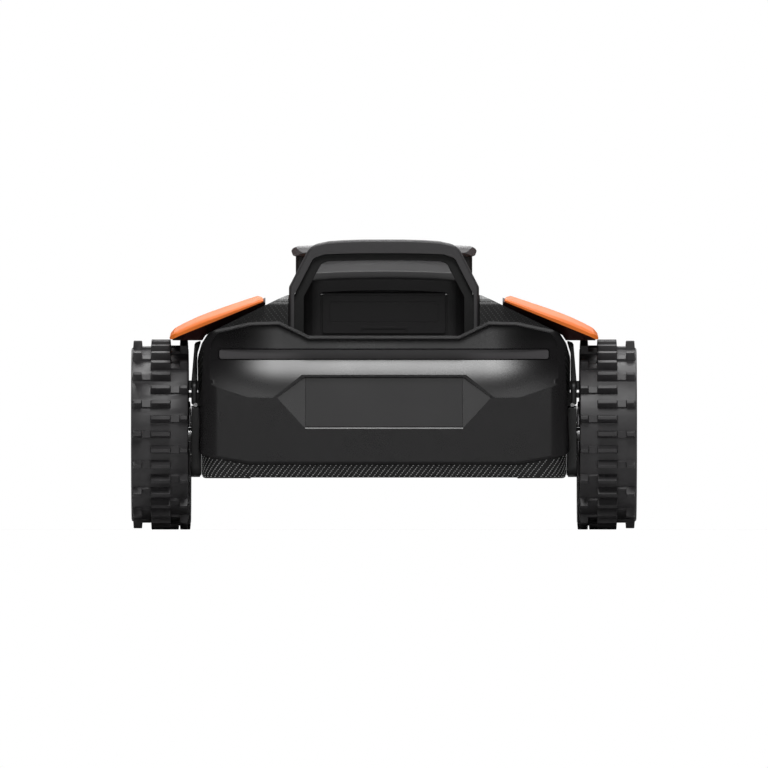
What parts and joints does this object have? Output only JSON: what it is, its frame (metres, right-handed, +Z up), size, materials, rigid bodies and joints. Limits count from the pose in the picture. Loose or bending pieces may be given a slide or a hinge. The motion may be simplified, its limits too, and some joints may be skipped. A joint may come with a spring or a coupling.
{
  "type": "robotic lawn mower",
  "caption": "Robotic lawn mower with steered front wheels, coved rear end, carry handle, floating console lid, orange fenders and a height-adjusted twin-disc cutting deck.",
  "frame": {"origin": "on the ground, under the middle of the machine's box", "axes": "+Y the way it drives, +X its right-hand side, +Z up"},
  "size_m": [0.56, 0.72, 0.3216],
  "materials": {
    "shell": "fine-grained dark grey moulding",
    "bezel": "satin dark grey moulding",
    "textured": "black moulding with rows of small studs",
    "gloss": "polished black",
    "orange": "satin orange paint",
    "grip": "soft black",
    "light_bar": "smoked diffuser",
    "glass": "tinted",
    "key": "moulded caps",
    "stop_red": "satin red",
    "lamp": "clear",
    "contact": "plated strip",
    "bumper": "matt",
    "tyre": "matt block tread",
    "rim": "grained black moulding",
    "drive": "dark powder coat",
    "steel": "turned and ground",
    "blade": "ground edges",
    "battery": "moulded case",
    "board": "solder mask"
  },
  "bodies": {
    "machine": {"chassis_tub": "shell", "lower_skirt": "textured", "hood": "textured", "rear_bezel": "bezel", "badge_plate": "bezel", "rear_light_bar": "light_bar", "fender_left": "orange", "fender_right": "orange", "handle_arch": "shell", "handle_grip": "grip", "console_hump": "gloss", "hatch_pin": "steel", "console_base": "shell", "display_window": "glass", "lid_hinge_pin": "steel", "camera_bar": "gloss", "camera_lens_left": "glass", "camera_lens_right": "glass", "headlight_left": "lamp", "headlight_right": "lamp", "charge_contact_left": "contact", "charge_contact_right": "contact", "rear_drive_left": "drive", "rear_drive_right": "drive", "front_arm_left": "drive", "front_arm_right": "drive", "guide_rod_left": "steel", "guide_rod_right": "steel", "lift_motor": "drive", "battery_pack": "battery", "control_board": "board"},
    "rear_wheel_left": {"rear_tyre_left": "tyre", "rear_rim_left": "rim"},
    "rear_wheel_right": {"rear_tyre_right": "tyre", "rear_rim_right": "rim"},
    "steer_left": {"front_knuckle_left": "drive"},
    "steer_right": {"front_knuckle_right": "drive"},
    "front_wheel_left": {"front_tyre_left": "tyre", "front_rim_left": "rim"},
    "front_wheel_right": {"front_tyre_right": "tyre", "front_rim_right": "rim"},
    "deck": {"deck_carriage": "drive", "blade_motor_left": "drive", "blade_motor_right": "drive"},
    "screw": {"lift_screw": "steel"},
    "disc_left": {"blade_disc_left": "steel"},
    "disc_right": {"blade_disc_right": "steel"},
    "lid": {"console_lid": "shell"},
    "stop": {"stop_button": "stop_red"},
    "power_key": {"key_power": "key"},
    "home_key": {"key_home": "key"},
    "mow_key": {"key_mow": "key"},
    "bumper": {"front_bumper": "bumper"},
    "hatch": {"rear_hatch": "gloss"},
    "knife_left_1": {"blade_left_1": "blade"},
    "knife_left_2": {"blade_left_2": "blade"},
    "knife_left_3": {"blade_left_3": "blade"},
    "knife_right_1": {"blade_right_1": "blade"},
    "knife_right_2": {"blade_right_2": "blade"},
    "knife_right_3": {"blade_right_3": "blade"}
  },
  "joints": [
    {"name": "rear_spin_left", "type": "hinge", "parent": "machine", "child": "rear_wheel_left", "pos_m": [-0.24825, -0.24, 0.1055], "axis": [1, 0, 0], "continuous": true},
    {"name": "steer_left", "type": "hinge", "parent": "machine", "child": "steer_left", "pos_m": [-0.23825, 0.215, 0.072], "axis": [0, 0, 1], "range_deg": [-35, 35]},
    {"name": "front_spin_left", "type": "hinge", "parent": "steer_left", "child": "front_wheel_left", "pos_m": [-0.23825, 0.215, 0.072], "axis": [1, 0, 0], "continuous": true},
    {"name": "rear_spin_right", "type": "hinge", "parent": "machine", "child": "rear_wheel_right", "pos_m": [0.24825, -0.24, 0.1055], "axis": [1, 0, 0], "continuous": true},
    {"name": "steer_right", "type": "hinge", "parent": "machine", "child": "steer_right", "pos_m": [0.23825, 0.215, 0.072], "axis": [0, 0, 1], "range_deg": [-35, 35]},
    {"name": "front_spin_right", "type": "hinge", "parent": "steer_right", "child": "front_wheel_right", "pos_m": [0.23825, 0.215, 0.072], "axis": [1, 0, 0], "continuous": true},
    {"name": "deck_height", "type": "slide", "parent": "machine", "child": "deck", "axis": [0, 0, 1], "range_m": [-0.05, 0]},
    {"name": "lift_turn", "type": "hinge", "parent": "machine", "child": "screw", "pos_m": [0, -0.004, 0.15], "axis": [0, 0, 1], "range_deg": [-900, 0]},
    {"name": "disc_spin_left", "type": "hinge", "parent": "deck", "child": "disc_left", "pos_m": [-0.086, -0.01, 0.088], "axis": [0, 0, 1], "continuous": true},
    {"name": "knife_swing_left_1", "type": "hinge", "parent": "disc_left", "child": "knife_left_1", "pos_m": [-0.086, 0.044, 0.0853], "axis": [0, 0, 1], "continuous": true},
    {"name": "knife_swing_left_2", "type": "hinge", "parent": "disc_left", "child": "knife_left_2", "pos_m": [-0.13276, -0.037, 0.0853], "axis": [0, 0, 1], "continuous": true},
    {"name": "knife_swing_left_3", "type": "hinge", "parent": "disc_left", "child": "knife_left_3", "pos_m": [-0.03923, -0.037, 0.0853], "axis": [0, 0, 1], "continuous": true},
    {"name": "disc_spin_right", "type": "hinge", "parent": "deck", "child": "disc_right", "pos_m": [0.086, -0.01, 0.088], "axis": [0, 0, 1], "continuous": true},
    {"name": "knife_swing_right_1", "type": "hinge", "parent": "disc_right", "child": "knife_right_1", "pos_m": [0.086, 0.044, 0.0853], "axis": [0, 0, 1], "continuous": true},
    {"name": "knife_swing_right_2", "type": "hinge", "parent": "disc_right", "child": "knife_right_2", "pos_m": [0.03923, -0.037, 0.0853], "axis": [0, 0, 1], "continuous": true},
    {"name": "knife_swing_right_3", "type": "hinge", "parent": "disc_right", "child": "knife_right_3", "pos_m": [0.13276, -0.037, 0.0853], "axis": [0, 0, 1], "continuous": true},
    {"name": "lid_open", "type": "hinge", "parent": "machine", "child": "lid", "pos_m": [0, 0.028, 0.3085], "axis": [-1, 0, 0], "range_deg": [0, 60]},
    {"name": "stop_press", "type": "slide", "parent": "lid", "child": "stop", "axis": [0, 0, -1], "range_m": [0, 0.004], "stiffness_N_per_m": 900},
    {"name": "power_press", "type": "slide", "parent": "machine", "child": "power_key", "axis": [0, 0, -1], "range_m": [0, 0.001], "stiffness_N_per_m": 1500},
    {"name": "home_press", "type": "slide", "parent": "machine", "child": "home_key", "axis": [0, 0, -1], "range_m": [0, 0.001], "stiffness_N_per_m": 1500},
    {"name": "mow_press", "type": "slide", "parent": "machine", "child": "mow_key", "axis": [0, 0, -1], "range_m": [0, 0.001], "stiffness_N_per_m": 1500},
    {"name": "bumper_press", "type": "slide", "parent": "machine", "child": "bumper", "axis": [0, -1, 0], "range_m": [0, 0.006], "stiffness_N_per_m": 4000},
    {"name": "hatch_swing", "type": "hinge", "parent": "machine", "child": "hatch", "pos_m": [0, -0.2548, 0.2608], "axis": [-1, 0, 0], "range_deg": [0, 60]}
  ],
  "couplings": [
    {"joint": "lift_turn", "follows": "deck_height", "rad_per_m": 314.16}
  ]
}
